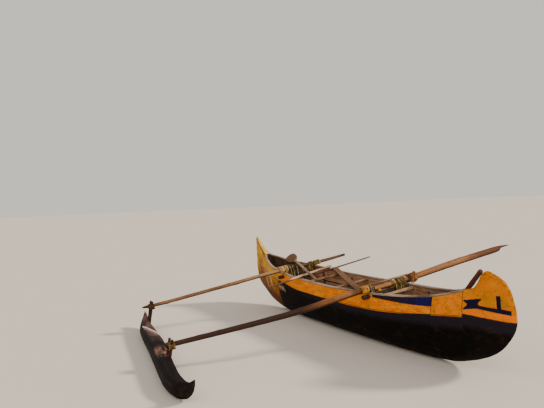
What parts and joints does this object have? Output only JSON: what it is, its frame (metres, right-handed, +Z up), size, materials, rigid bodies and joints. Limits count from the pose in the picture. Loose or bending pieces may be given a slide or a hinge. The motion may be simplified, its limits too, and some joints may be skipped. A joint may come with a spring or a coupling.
{
  "type": "outrigger canoe",
  "caption": "Wooden sailing and paddling canoe: dugout log with plank topsides, raised bow, fin-shaped stern, lashed pole booms and a carved log float on its port side.",
  "frame": {"origin": "on the sand, under the middle of the whole canoe's box", "axes": "+X to the bow, +Y to port where the float is, +Z up; the hull leans 7.3 degrees to port as it lies on the sand"},
  "size_m": [6.16, 4.8508, 1.2166],
  "materials": {
    "hull_log": "worn dark tar coat outside, bare wood inside",
    "painted_plank": "worn orange paint with dark blue panels",
    "bow_wood": "worn ochre paint over bare wood",
    "rail_wood": "bare grey weathered wood",
    "inner_wood": "bare wood",
    "boom_wood": "debarked pole",
    "weathered_wood": "grey-brown weathered wood",
    "stake_wood": "dark red-brown wood",
    "float_wood": "dark weathered wood, worn patches",
    "rope": "yellow synthetic and pale natural rope"
  },
  "bodies": {
    "root": {"log_stern": "hull_log", "log_aft": "hull_log", "log_fore": "hull_log", "log_bow": "hull_log", "stern_block": "painted_plank", "bow_block": "bow_wood", "plank_port_stern": "painted_plank", "plank_port_aft": "painted_plank", "plank_port_waist": "painted_plank", "plank_port_fore": "painted_plank", "plank_port_bow": "painted_plank", "rail_port_aft": "rail_wood", "rail_port_mid": "rail_wood", "rail_port_fore": "rail_wood", "plank_starboard_stern": "painted_plank", "plank_starboard_aft": "painted_plank", "plank_starboard_waist": "painted_plank", "plank_starboard_fore": "painted_plank", "plank_starboard_bow": "painted_plank", "rail_starboard_aft": "rail_wood", "rail_starboard_mid": "rail_wood", "rail_starboard_fore": "rail_wood", "cross_beam_fore": "weathered_wood", "cross_beam_aft": "weathered_wood", "thwart_bow": "inner_wood", "thwart_fore": "inner_wood", "thwart_mid": "inner_wood", "thwart_aft": "inner_wood", "thwart_stern": "inner_wood", "rib_1": "inner_wood", "rib_2": "inner_wood", "rib_3": "inner_wood", "rib_4": "inner_wood", "rib_5": "inner_wood", "boom_fore": "boom_wood", "boom_aft": "boom_wood", "lashing_fore_port": "rope", "lashing_fore_starboard": "rope", "lashing_aft_port": "rope", "lashing_aft_starboard": "rope", "stake_fore_aft": "stake_wood", "stake_fore_front": "stake_wood", "stake_aft_aft": "stake_wood", "stake_aft_front": "stake_wood", "lashing_float_fore": "rope", "lashing_float_aft": "rope", "lashing_pole": "weathered_wood", "cross_pole": "weathered_wood", "cross_stick": "stake_wood", "paddle": "weathered_wood", "loose_board": "inner_wood", "stern_stake": "stake_wood", "float_log": "float_wood"}
  },
  "joints": []
}
